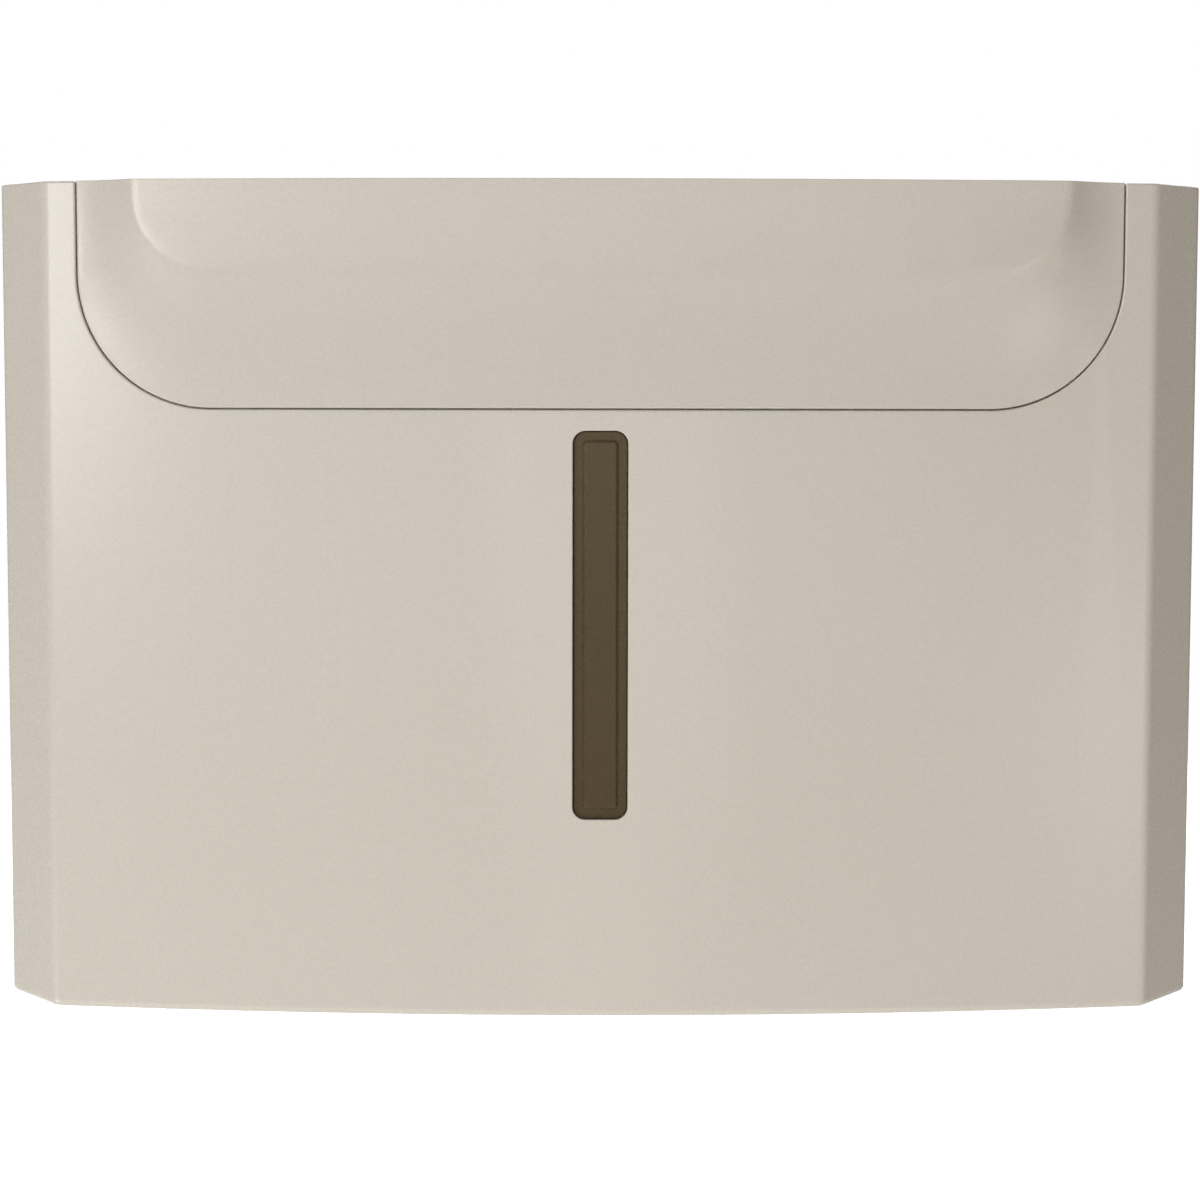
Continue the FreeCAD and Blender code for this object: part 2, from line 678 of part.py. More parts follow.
def towel_tray():
    """Sloping floor of the magazine, with a rear upstand, a front lip and the oval outlet."""
    front, rear = -magazine_front, panel_front_y - fit_gap
    upstand_top = underside(rear) + tray_upstand
    over_rim = sloped_wall + tray_step_gap
    profile = [(front, underside(front)), (tray_step_y, underside(tray_step_y)),
               (tray_step_y, underside(tray_step_y) + over_rim), (rear, underside(rear) + over_rim),
               (rear, upstand_top), (rib_front_y, upstand_top)] + tray_top(rib_front_y, front, 0)
    floor = side_prism(profile, -cheek_outer_half, cheek_outer_half)
    lip_half = cheek_inner_half - cheek_lip - slide_gap
    lip_low = underside(front) + sloped_wall * 0.8
    lip_top = underside(front) + sloped_wall + tray_lip_height
    lip = side_prism([(front, lip_low), (front + tray_lip_wall, lip_low), (front + tray_lip_wall, lip_top),
                      (front, lip_top)], -lip_half, lip_half)
    # beside the cheeks only the sloping floor runs on, without ramp and upstand
    side_cuts = []
    for side in (-1, 1):
        x0, x1 = sorted((side * (cheek_inner_half - fit_gap), side * width))
        start = tray_step_y - 2 * tray_ramp - 1
        above = side_prism([(start, underside(start) + sloped_wall), (OVER, underside(OVER) + sloped_wall),
                            (OVER, 0), (start, 0)], x0, x1)
        side_cuts.append(above)
    tray = joined([floor, lip]).cut(Part.makeCompound(side_cuts))
    margin = bezel_wall + fit_gap
    hole = oval(outlet_length / 2 + margin, outlet_width / 2 + margin, -OVER, OVER)
    cuts = [on_underside(hole)]
    shank, head, _ = SMALL_SCREW
    for x, z in tray_screw_places():
        cuts.append(rod(shank + screw_clear_gap, V(x, rib_front_y - 1, z), V(x, rear + 1, z)))
        cuts.append(Part.makeCone(head + screw_clear_gap, shank + screw_clear_gap, head - shank,
                                  V(x, rib_front_y, z), Y_AXIS))
    return tray.cut(Part.makeCompound(cuts))


def on_underside(shape):
    """Moves a shape made round the origin to the outlet, square to the sloping underside."""
    placed = shape.copy()
    placed.rotate(V(0, 0, 0), X_AXIS, underside_angle)
    placed.translate(V(0, outlet_centre_y, underside(outlet_centre_y)))
    return placed


def outlet_bezel():
    """Smooth oval ring that lines the outlet, with four snap barbs above the tray."""
    half_l, half_w = outlet_length / 2, outlet_width / 2
    sleeve_top = wall + bezel_sleeve_rise
    flange = oval(half_l + bezel_wall + bezel_flange, half_w + bezel_wall + bezel_flange,
                  -bezel_flange_wall - fit_gap, -fit_gap)
    sleeve = oval(half_l + bezel_wall, half_w + bezel_wall, -bezel_flange_wall, sleeve_top)
    ring = joined([flange, sleeve]).cut(oval(half_l, half_w, -OVER, OVER))
    flange_low = -bezel_flange_wall - fit_gap
    ring = rounded(ring, bezel_flange_round, lambda e: abs(e.CenterOfMass.z - flange_low) < 0.01
                   and abs(e.tangentAt(e.FirstParameter).z) < 0.01)
    ring = rounded(ring, bezel_sleeve_round, lambda e: abs(e.CenterOfMass.z - sleeve_top) < 0.01
                   and abs(e.tangentAt(e.FirstParameter).z) < 0.01)
    barbs = []
    for sx in (-1, 1):
        for sy in (-1, 1):
            x, y = sx * half_l * 0.5, sy * (half_w + bezel_wall)
            inner, outer = sorted((y - sy * fit_gap * 2, y + sy * barb_reach))
            barbs.append(block(x - barb_half, x + barb_half, inner, outer,
                               wall + fit_gap + barb_gap, wall + barb_top))
    return on_underside(joined([ring] + barbs))


def guide_foot_heights():
    return [underside(panel_front_y) + guide_lower_foot, guide_top - guide_upper_foot]


def guide_outer_x():
    return cheek_inner_half - hinge_pad - slide_gap


def right_guide():
    """Upright plate that narrows the magazine; its two T-shaped feet run in slots in the back plate."""
    x1 = guide_outer_x()
    x0 = x1 - guide_wall
    rear, front = rib_front_y - slide_gap, -magazine_front + guide_front_gap
    profile = tray_top(rear, front, slide_gap)
    profile += [(front, guide_top - guide_front_drop), (-cheek_rear_reach, guide_top), (rear, guide_top)]
    plate = side_prism(profile, x0, x1)
    plate = rounded(plate, guide_corner, lambda e: abs(e.tangentAt(e.FirstParameter).x) > 0.99
                    and e.CenterOfMass.z > 0 and e.CenterOfMass.y < rear - 1)
    pieces = [plate]
    for z in guide_foot_heights():
        foot_x0 = x1 - guide_foot_length
        neck = guide_neck_height / 2
        head = guide_head_height / 2
        pieces.append(block(foot_x0, x1, rear - guide_foot_root, panel_front_y - slide_gap / 2,
                            z - head, z + head))
        pieces.append(block(foot_x0, x1, panel_front_y - 1.5, panel_back_y + 0.3, z - neck, z + neck))
        pieces.append(block(foot_x0, x1, panel_back_y + 0.2, panel_back_y + 0.2 + guide_head_wall,
                            z - head, z + head))
    # thumb grip: small ridges near the top of the front edge
    for k in range(grip_ridges):
        y = -cheek_rear_reach + grip_inset + grip_pitch * k
        pieces.append(block(x0 - grip_stand, x0 + 0.5, y - grip_half, y + grip_half,
                            guide_top - grip_low, guide_top - grip_high))
    return joined(pieces)


# ---------------------------------------------------------------- cover
def front_cover():
    low = front_low_z - OVER
    shell = plan_solid(0, low, top_z, cover_rear_y, soft=True)
    shell = shell.cut(below_underside(0))
    shell = rounded(shell, lower_round, on_outer_edge(lower=True))
    shell = rounded(shell, upper_round, on_outer_edge(lower=False))
    # inside
    cavity = plan_solid(wall, low, top_z - wall, OVER)
    above = cavity.cut(below_underside(sloped_wall))
    behind_lip = plan_solid(wall, low, 0, OVER)
    behind_lip = behind_lip.cut(block(-width, width, -2 * depth, -depth + cover_lip_depth, low, 0))
    shell = shell.cut(above).cut(behind_lip)
    # seat for the brow panel
    prism = brow_prism(0, top_z + OVER)
    in_front = prism.cut(plan_solid(brow_seat, low, top_z + 2 * OVER, OVER))
    backing = plan_solid(brow_seat, low, top_z - 0.01, -depth + 40)
    backing = backing.cut(plan_solid(brow_seat + wall, low, top_z + OVER, OVER))
    backing = backing.common(brow_prism(brow_seat_margin, top_z - wall * 0.5))
    additions = [backing.common(plan_solid(wall * 0.5, low, top_z, OVER))]
    additions += cover_ribs() + cover_hinge_bosses() + [lock_boss()]
    for x, z in window_screw_places():
        additions.append(rod(window_boss_radius, V(x, -depth + wall * 0.5, z),
                             V(x, window_frame_front_y() - 0.05, z)))
    shell = joined([shell] + additions)
    shell = rounded(shell.cut(in_front), brow_edge_round, on_brow_line)
    return shell.cut(Part.makeCompound(cover_cuts())).cut(rear_corner_cut())


def on_brow_line(edge):
    """Picks the edges where the seat of the brow meets the bowed face."""
    if abs(edge.CenterOfMass.x) > brow_half_width + 0.01:
        return False
    ends = [vertex.Point for vertex in edge.Vertexes]
    low = min(p.z for p in ends)
    on_face = all(abs(p.y - face_y(p.x)) < 0.01 for p in ends)
    return on_face and low > top_z - brow_drop - 0.01 and edge.Length > 5


def on_outer_edge(lower):
    """Picks the lower or the upper outer edge of the cover's front, bevels and sides."""
    def keep(edge):
        middle = edge.CenterOfMass
        if abs(edge.tangentAt(edge.FirstParameter).z) > 0.5 or middle.y > cover_rear_y - 0.5:
            return False
        if lower:
            return middle.z < front_low_z + depth * underside_rise + 2
        return middle.z > top_z - 0.01
    return keep


def cover_ribs():
    """Upright ribs behind the front face, and gussets in the top corners that meet the bumpers."""
    ribs = []
    rib_top = top_z - brow_drop - wall - 1.0
    for share in cover_rib_shares:
        cx = share * face_half
        front = face_y(cx) + wall * 0.6
        back = face_y(cx) + wall + cover_rib_height
        ribs.append(block(cx - cover_rib_wall / 2, cx + cover_rib_wall / 2, front, back,
                          front_low_z + wall + 2.0, rib_top))
    for x, z in bumper_places():
        rear = bumper_seat_y() - bumper_height - bumper_touch_gap
        low, high = z - gusset_drop, top_z - wall * 0.5
        profile = [(rear, high), (rear, low), (rear - gusset_foot, low), (rear - gusset_reach, high)]
        gusset = side_prism(profile, x - gusset_half, x + gusset_half)
        ribs.append(gusset)
    return ribs


def cover_hinge_bosses():
    """Bosses for the hinge pins, each with a finger that meets the cheek's stop when the cover is open."""
    made = []
    for side in (-1, 1):
        x0, x1 = side * (cheek_outer_half + slide_gap), side * (inner_half + wall * 0.4)
        made.append(rod(pin_boss_radius, V(x0, hinge_y, hinge_z), V(x1, hinge_y, hinge_z)))
        a, b = sorted((x0, x1))
        made.append(block(a, b, hinge_y - stop_finger_half, hinge_y + stop_finger_half, hinge_z,
                          hinge_z + stop_finger_reach))
    return made


def lock_boss():
    return rod(lock_boss_radius, V(0, lock_y, lock_seat_z() - lock_boss_wall), V(0, lock_y, top_z - 0.5))


def cover_cuts():
    cuts = []
    # level window
    cuts.append(rounded_slot(window_width / 2, window_length / 2, window_corner,
                             -depth - 5, -depth + wall + 3, window_centre_z))
    # holes for the window frame's screws
    for x, z in window_screw_places():
        cuts.append(rod(SMALL_SCREW[0] + screw_pilot_gap, V(x, -depth + 0.9, z), V(x, -depth + 12, z)))
    # screw holes and hook slots behind the brow
    for x, z in brow_boss_places():
        cuts.append(rod(SMALL_SCREW[0] + screw_clear_gap, V(x, -depth - 1, z), V(x, -depth + 14, z)))
    for x, z in brow_hook_places():
        y = face_y(x)
        half = hook_half + hook_slot_gap
        cuts.append(block(x - half, x + half, y + 1.0, y + 14, z - hook_catch - hook_slot_gap / 2,
                          z + hook_wall + hook_catch + hook_slot_gap))
    # hinge pin holes, blind
    for side in (-1, 1):
        cuts.append(rod(pin_radius + pin_running_gap, V(side * cheek_outer_half, hinge_y, hinge_z),
                        V(side * (half_width - pin_hole_floor), hinge_y, hinge_z)))
    # lock: flush recess for the flange, and a hole with two flats
    seat = lock_seat_z()
    cuts.append(rod(lock_flange_radius + fit_gap, V(0, lock_y, seat), V(0, lock_y, top_z + 1)))
    cuts.append(double_flat(lock_barrel_radius + fit_gap, lock_flat_half + fit_gap, seat - 10, seat + 1))
    return cuts


def rear_corner_cut():
    """Rounds the cover's rear lower corners about the hinge axis, so that they turn clear of the rim."""
    box = block(-width, width, hinge_y, OVER, -height * 2, hinge_z)
    return box.cut(rod(hinge_corner_radius, V(-width, hinge_y, hinge_z), V(width, hinge_y, hinge_z)))


def double_flat(radius, flat_half, z0, z1):
    """Upright bar at the lock, round with two flats."""
    bar = rod(radius, V(0, lock_y, z0), V(0, lock_y, z1))
    return bar.common(block(-flat_half, flat_half, lock_y - 2 * radius, lock_y + 2 * radius, z0, z1))


# ---------------------------------------------------------------- brow panel
def rounded_u_distance(x, z, half, low, corner):
    """Signed distance to a U-shaped region that is open upwards, negative inside."""
    qx = abs(x) - (half - corner)
    qz = (low + corner) - z
    return min(max(qx, qz), 0) + math.hypot(max(qx, 0), max(qz, 0)) - corner


def brow_rise(x, z):
    """How far the brow stands out from the cover's face: a flat top, then a hollow slope to its edge."""
    inside = rounded_u_distance(x, z, plateau_half_width, top_z - plateau_drop, plateau_corner)
    outside = -rounded_u_distance(x, z, brow_half_width, top_z - brow_drop, brow_corner)
    if inside < -plateau_round:
        return brow_height
    t = inside / (inside + outside)
    if inside > plateau_round:
        return brow_height * (1 - t) * (1 - slope_hollow * t)
    steepness = brow_height * (1 + slope_hollow) / (inside + outside)
    return brow_height - steepness * (inside + plateau_round) ** 2 / (4 * plateau_round)


def brow_front_face():
    """Front surface of the brow as one smooth sheet, a little larger than the brow."""
    margin = 2.0
    across = math.ceil(2 * (brow_half_width + margin) / brow_grid)
    up = math.ceil((brow_drop + 2 * margin) / brow_grid)
    rows = []
    for i in range(across + 1):
        x = (i / across - 0.5) * 2 * (brow_half_width + margin)
        column = []
        for j in range(up + 1):
            z = top_z - brow_drop - margin + j / up * (brow_drop + 2 * margin)
            column.append(V(x, face_y(x) - brow_rise(x, z), z))
        rows.append(column)
    surface = Part.BSplineSurface()
    surface.interpolate(rows)
    return surface.toShape()


def brow_panel():
    sheet = brow_front_face()
    outline_prism = brow_prism(-brow_line, top_z)
    skin = sheet.extrude(V(0, brow_wall, 0)).common(outline_prism)
    seat = plan_solid(brow_seat - fit_gap, -height, height, OVER)
    full = sheet.extrude(V(0, brow_height + 2 * wall, 0)).common(outline_prism).cut(seat)
    flange = full.common(block(-width, width, -2 * depth, 0, top_z - brow_wall, top_z))
    rim = full.cut(brow_prism(-brow_line - brow_rim_width, top_z + 1))
    pieces = [skin, flange, rim]
    for x, z in brow_boss_places():
        pieces.append(full.common(rod(brow_boss_radius, V(x, -depth - OVER, z), V(x, 0, z))))
    for x, z in brow_hook_places():
        pieces.append(brow_hook(x, z, full))
    panel = rounded(joined(pieces), brow_edge_round, on_brow_rim)
    holes = []
    for x, z in brow_boss_places():
        skin_back = face_y(x) - brow_height + 1.3
        holes.append(rod(SMALL_SCREW[0] + screw_pilot_gap, V(x, skin_back, z), V(x, 0, z)))
    return panel.cut(Part.makeCompound(holes))


def on_brow_rim(edge):
    """Picks the outer edges of the brow's front, except along the top of the dispenser."""
    ends = [vertex.Point for vertex in edge.Vertexes]
    middle = edge.valueAt((edge.FirstParameter + edge.LastParameter) / 2)
    on_rim = all(abs(rounded_u_distance(p.x, p.z, brow_half_width - brow_line, top_z - brow_drop + brow_line,
                                        brow_corner - brow_line)) < 0.01 for p in ends + [middle])
    return on_rim and all(p.y < face_y(p.x) + 0.2 for p in ends) and edge.Length > 5


def brow_hook(x, z, full):
    """Tongue behind the brow that passes through the cover's seat and hooks behind it."""
    y = face_y(x)
    behind = y + brow_seat + wall
    x0, x1 = x - hook_half, x + hook_half
    root = full.common(block(x0, x1, y - 2 * brow_height, 0, z, z + hook_wall))
    tongue = block(x0, x1, y + brow_seat - fit_gap - 0.6, behind + hook_reach, z, z + hook_wall)
    catch = behind + 0.25
    barb = side_prism([(catch, z + 0.3), (catch, z - hook_catch), (behind + hook_reach, z + 0.3)], x0, x1)
    return joined([root, tongue, barb])


def brow_screws():
    made = []
    for x, z in brow_boss_places():
        seat = face_y(x) + brow_seat + wall
        # the seat is bowed, so the head stands off it by a hair
        made.append(screw(SMALL_SCREW, V(x, face_y(x) - brow_height + 1.9, z), V(x, seat + 0.3, z)))
    return Part.makeCompound(made)


# ---------------------------------------------------------------- level window
def sight_window():
    """Tinted pane: a flange behind the cover, a rim in its slot, and a raised pane with bevelled edges."""
    flange = rounded_slot(window_width / 2 + window_flange, window_length / 2 + window_flange,
                          window_corner + 1.5, window_back_y, window_back_y + window_flange_wall,
                          window_centre_z)
    rim_half = window_width / 2 - fit_gap
    rim_front = -depth + window_rim_sink
    rim = rounded_slot(rim_half, window_length / 2 - fit_gap, window_corner - fit_gap,
                       rim_front, window_back_y + 0.5, window_centre_z)
    rim = rounded(rim, 0.3, lambda e: abs(e.CenterOfMass.y - rim_front) < 0.01)
    pane_front = -depth + window_pane_sink
    inset = window_rim
    pane = rounded_slot(window_width / 2 - inset, window_length / 2 - inset, window_pane_corner,
                        pane_front, window_back_y + 0.5, window_centre_z)
    bevel = window_rim_sink - window_pane_sink
    front_edges = [e for e in pane.Edges if abs(e.CenterOfMass.y - pane_front) < 0.01]
    pane = pane.makeChamfer(bevel * 0.8, front_edges)
    body = joined([flange, rim, pane])
    # hollow behind the pane keeps the wall even
    inset += 0.4
    hollow = rounded_slot(window_width / 2 - inset, window_length / 2 - inset, window_pane_corner,
                          pane_front + window_pane_wall, window_back_y + window_flange_wall + 1,
                          window_centre_z)
    return body.cut(hollow)


def window_frame_front_y():
    return window_back_y + window_flange_wall + 0.05


def window_frame():
    """Frame screwed to the inside of the cover that holds the pane in its slot."""
    y0 = window_frame_front_y()
    y1 = y0 + window_frame_wall
    outer = rounded_slot(window_width / 2 + window_frame_margin, window_length / 2 + window_flange,
                         window_frame_corner, y0, y1, window_centre_z)
    rib = rounded_slot(window_width / 2 + window_frame_rib, window_length / 2 + window_frame_rib,
                       window_corner + 1.5, y0 + 0.5, y1 + window_frame_rib, window_centre_z)
    opening = rounded_slot(window_width / 2, window_length / 2, window_corner, y0 - 1, y1 + 3,
                           window_centre_z)
    frame = joined([outer, rib]).cut(opening)
    holes = [rod(SMALL_SCREW[0] + screw_clear_gap, V(x, y0 - 1, z), V(x, y1 + 1, z))
             for x, z in window_screw_places()]
    return frame.cut(Part.makeCompound(holes))


def window_screws():
    seat = window_frame_front_y() + window_frame_wall
    return Part.makeCompound([screw(SMALL_SCREW, V(x, -depth + 1.2, z), V(x, seat, z))
                              for x, z in window_screw_places()])


# ---------------------------------------------------------------- lock
def lock_barrel():
    seat = lock_seat_z()
    flange = rod(lock_flange_radius, V(0, lock_y, seat), V(0, lock_y, seat + lock_flange_wall))
    flange = rounded(flange, 0.5, lambda e: abs(e.CenterOfMass.z - seat - lock_flange_wall) < 0.01)
    body = double_flat(lock_barrel_radius, lock_flat_half, barrel_low_z(), seat + 0.1)
    barrel = joined([flange, body])
    bore = rod(lock_plug_radius + lock_plug_gap, V(0, lock_y, barrel_low_z() - 1), V(0, lock_y, top_z + 1))
    return barrel.cut(bore)


def lock_washer():
    top = lock_seat_z() - lock_boss_wall
    ring = rod(lock_nut_across / 2, V(0, lock_y, top - lock_washer_wall), V(0, lock_y, top))
    return ring.cut(rod(lock_barrel_radius + fit_gap, V(0, lock_y, top - 5), V(0, lock_y, top + 5)))


def lock_nut():
    top = lock_seat_z() - lock_boss_wall - lock_washer_wall
    reach = lock_nut_across / 2 / math.cos(math.pi / 6)
    corners = [V(reach * math.cos(math.pi / 3 * k), lock_y + reach * math.sin(math.pi / 3 * k),
                 top - lock_nut_wall) for k in range(6)]
    hexagon = outline(corners, V(0, 0, lock_nut_wall))
    crown = Part.makeCone(reach * 1.06, reach * 0.9, lock_nut_wall, V(0, lock_y, top), V(0, 0, -1))
    hexagon = hexagon.common(crown)
    return hexagon.cut(rod(lock_barrel_radius + fit_gap, V(0, lock_y, top - 10), V(0, lock_y, top + 5)))


def lock_plug():
    """Turning core with a key slot, and a square tail for the cam."""
    top = lock_seat_z() + lock_flange_wall - lock_plug_sink
    low = barrel_low_z() - fit_gap
    core = rod(lock_plug_radius, V(0, lock_y, low), V(0, lock_y, top))
    half = cam_square / 2 - cam_square_gap
    tail = block(-half, half, lock_y - half, lock_y + half, low - cam_wall, low + 0.5)
    plug = joined([core, tail])
    floor = top - key_slot_depth
    slot = block(-key_slot_half, key_slot_half, lock_y - key_slot_reach, lock_y + key_slot_reach,
                 floor, top + BITE)
    ward = block(-key_ward_half, key_ward_half, lock_y - key_ward_reach, lock_y + key_ward_reach,
                 floor, top + BITE)
    hole = rod(CAM_SCREW[0] + screw_pilot_gap, V(0, lock_y, low - cam_wall - BITE),
               V(0, lock_y, low + cam_screw_reach + BITE))
    return plug.cut(slot).cut(ward).cut(hole)


def lock_cam():
    """Steel tongue on the plug. At rest it points to the wall, clear of the strike."""
    low = cam_low_z()
    tongue = block(-cam_half_width, cam_half_width, lock_y, lock_y + cam_reach - cam_half_width, low,
                   low + cam_wall)
    ends = [rod(cam_half_width, V(0, lock_y + r, low), V(0, lock_y + r, low + cam_wall))
            for r in (0, cam_reach - cam_half_width)]
    half = cam_square / 2
    square = block(-half, half, lock_y - half, lock_y + half, low - 1, low + cam_wall + 1)
    return joined([tongue] + ends).cut(square)


def cam_screw():
    low = cam_low_z()
    head_low = V(0, lock_y, low)
    washer_low = V(0, lock_y, low - cam_washer_wall)
    washer = rod(cam_washer_radius, washer_low, head_low)
    body = screw(CAM_SCREW, V(0, lock_y, low + cam_wall + cam_screw_reach), washer_low)
    return joined([body, washer])


def strike_bracket():
    """Bent steel catch on the back plate. Its upturned end stands in front of the turned cam."""
    x0, x1 = strike_near_x, strike_near_x + strike_width
    arm_top = cam_low_z() - strike_under_cam
    base_low = strike_low_z()
    hook_back = lock_y - cam_half_width - strike_gap
    base_back = panel_front_y
    profile = [(base_back, base_low), (base_back, arm_top), (hook_back, arm_top),
               (hook_back, arm_top + strike_hook), (hook_back - strike_wall, arm_top + strike_hook),
               (hook_back - strike_wall, arm_top - strike_wall),
               (base_back - strike_wall, arm_top - strike_wall), (base_back - strike_wall, base_low)]
    bracket = side_prism(profile, x0, x1)
    holes = [rod(SMALL_SCREW[0] + screw_clear_gap, V(x, base_back - 5, z), V(x, base_back + 1, z))
             for x, z in strike_screw_places()]
    return bracket.cut(Part.makeCompound(holes))


def strike_screws():
    seat = panel_front_y - strike_wall
    return Part.makeCompound([screw(SMALL_SCREW, V(x, -1.0, z), V(x, seat, z))
                              for x, z in strike_screw_places()])


# ---------------------------------------------------------------- remaining fasteners
def cheek_screws():
    """Driven from behind the back plate into the cheeks' bosses."""
    made = []
    for side in (-1, 1):
        for z in cheek_boss_heights():
            x = side * cheek_boss_x()
            tip = V(x, panel_front_y - fit_gap - cheek_screw_reach, z)
            made.append(screw(SMALL_SCREW, tip, V(x, panel_back_y, z)))
    return Part.makeCompound(made)


def tray_screws():
    return Part.makeCompound([screw(SMALL_SCREW, V(x, -1.0, z), V(x, rib_front_y, z), flat_head=True)
                              for x, z in tray_screw_places()])


def right_hinge_pin():
    pin = rod(pin_radius, V(cheek_inner_half - hinge_pad, hinge_y, hinge_z),
              V(half_width - pin_hole_floor - pin_end_gap, hinge_y, hinge_z))
    return rounded(pin, 0.4, lambda e: e.Curve.TypeId == "Part::GeomCircle")


# ---------------------------------------------------------------- all nodes
def nodes():
    cheek, guide, pin = right_cheek(), right_guide(), right_hinge_pin()
    return {
        "back_plate": back_plate(),
        "bumpers": bumpers(),
        "cheek_right": cheek,
        "cheek_left": mirrored(cheek),
        "cheek_screws": cheek_screws(),
        "towel_tray": towel_tray(),
        "tray_screws": tray_screws(),
        "outlet_bezel": outlet_bezel(),
        "width_guide_right": guide,
        "width_guide_left": mirrored(guide),
        "hinge_pin_right": pin,
        "hinge_pin_left": mirrored(pin),
        "strike_bracket": strike_bracket(),
        "strike_screws": strike_screws(),
        "front_cover": front_cover(),
        "brow_panel": brow_panel(),
        "brow_screws": brow_screws(),
        "sight_window": sight_window(),
        "window_frame": window_frame(),
        "window_screws": window_screws(),
        "lock_barrel": lock_barrel(),
        "lock_washer": lock_washer(),
        "lock_nut": lock_nut(),
        "lock_plug": lock_plug(),
        "lock_cam": lock_cam(),
        "cam_screw": cam_screw(),
    }


os.makedirs("parts", exist_ok=True)
for name, shape in nodes().items():
    solids = shape.Solids
    print(name, "solids", len(solids), "valid", shape.isValid(), "volume", round(shape.Volume, 1))
    shape.exportStep(os.path.join("parts", name + ".step"))
print("hinge axis y", round(hinge_y, 3), "z", round(hinge_z, 3))
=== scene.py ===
"""Looks of the wall-hung towel dispenser: materials, light and camera.

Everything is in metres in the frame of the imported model: the wall is the plane Y = 0, the dispenser
stands out towards -Y, and Z is up. The origin is the centre of the four wall screws.
"""

import json
import math

import bpy
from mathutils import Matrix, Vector


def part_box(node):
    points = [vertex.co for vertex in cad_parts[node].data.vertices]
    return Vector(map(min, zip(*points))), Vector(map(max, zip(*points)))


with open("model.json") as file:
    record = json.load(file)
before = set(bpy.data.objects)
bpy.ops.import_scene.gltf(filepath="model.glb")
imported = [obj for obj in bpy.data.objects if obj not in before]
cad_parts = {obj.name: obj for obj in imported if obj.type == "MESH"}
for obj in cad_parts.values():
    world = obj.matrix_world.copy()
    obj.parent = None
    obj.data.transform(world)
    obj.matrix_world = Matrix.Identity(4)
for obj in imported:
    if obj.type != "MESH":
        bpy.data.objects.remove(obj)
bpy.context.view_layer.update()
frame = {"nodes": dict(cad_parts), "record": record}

PLASTIC_IOR = 1.5
FLOOR_LEVEL = -0.75          # well below the hung dispenser
FLOOR_HALF = 5.0


# ---------------------------------------------------------------- colours
def linear(red, green, blue):
    """Scene colour of a colour given as 0 to 255 values on screen."""
    def one(value):
        c = value / 255
        return c / 12.92 if c <= 0.04045 else ((c + 0.055) / 1.055) ** 2.4
    return (one(red), one(green), one(blue), 1.0)


def scaled(colour, factor):
    """The colour made darker or lighter by a factor."""
    return tuple(min(c * factor, 1.0) for c in colour[:3]) + (1.0,)


